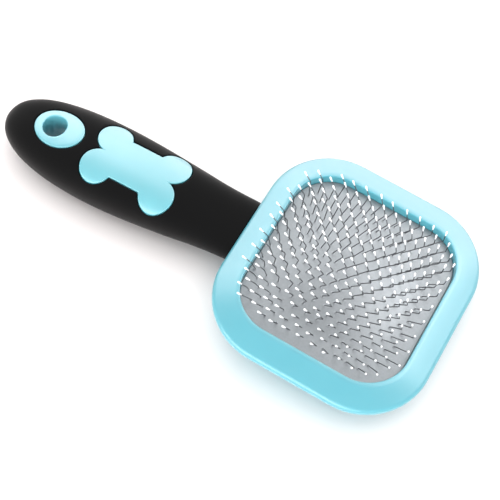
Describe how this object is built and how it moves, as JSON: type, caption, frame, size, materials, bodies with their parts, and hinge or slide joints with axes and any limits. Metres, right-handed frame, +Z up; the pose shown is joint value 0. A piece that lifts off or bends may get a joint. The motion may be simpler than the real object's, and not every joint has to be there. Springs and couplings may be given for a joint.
{
  "type": "slicker brush",
  "caption": "Pet slicker brush: bent wire pins on an air-cushioned pad in a square head, on a soft grip handle with a hanging hole.",
  "frame": {"origin": "on the table, under the middle of the brush", "axes": "+X along the brush from the handle to the head, +Z up, the way the pins point"},
  "size_m": [0.2043, 0.0954, 0.0328],
  "materials": {
    "aqua_plastic": "glossy moulded plastic, pale aqua",
    "core_plastic": "moulded plastic, pale aqua",
    "grip_rubber": "satin black soft-touch rubber",
    "pad_face": "satin silver-grey rubber facing",
    "steel_pins": "bright drawn steel wire with pale rounded tips"
  },
  "bodies": {
    "handle_and_head": {"head_shell": "aqua_plastic", "bezel_frame": "aqua_plastic", "handle_core": "core_plastic", "handle_grip": "grip_rubber", "eyelet_insert": "aqua_plastic", "bone_inlay": "aqua_plastic"},
    "cushion": {"cushion_pad": "pad_face", "pin_row_01": "steel_pins", "pin_row_02": "steel_pins", "pin_row_03": "steel_pins", "pin_row_04": "steel_pins", "pin_row_05": "steel_pins", "pin_row_06": "steel_pins", "pin_row_07": "steel_pins", "pin_row_08": "steel_pins", "pin_row_09": "steel_pins", "pin_row_10": "steel_pins", "pin_row_11": "steel_pins", "pin_row_12": "steel_pins", "pin_row_13": "steel_pins", "pin_row_14": "steel_pins", "pin_row_15": "steel_pins", "pin_row_16": "steel_pins", "pin_row_17": "steel_pins", "pin_row_18": "steel_pins", "pin_row_19": "steel_pins", "pin_row_20": "steel_pins", "pin_row_21": "steel_pins", "pin_row_22": "steel_pins", "pin_row_23": "steel_pins", "pin_row_24": "steel_pins", "pin_row_25": "steel_pins"}
  },
  "joints": [
    {"name": "cushion_press", "type": "slide", "parent": "handle_and_head", "child": "cushion", "axis": [-0.0882, 0, -0.9961], "range_m": [0, 0.0025], "stiffness_N_per_m": 2500}
  ]
}
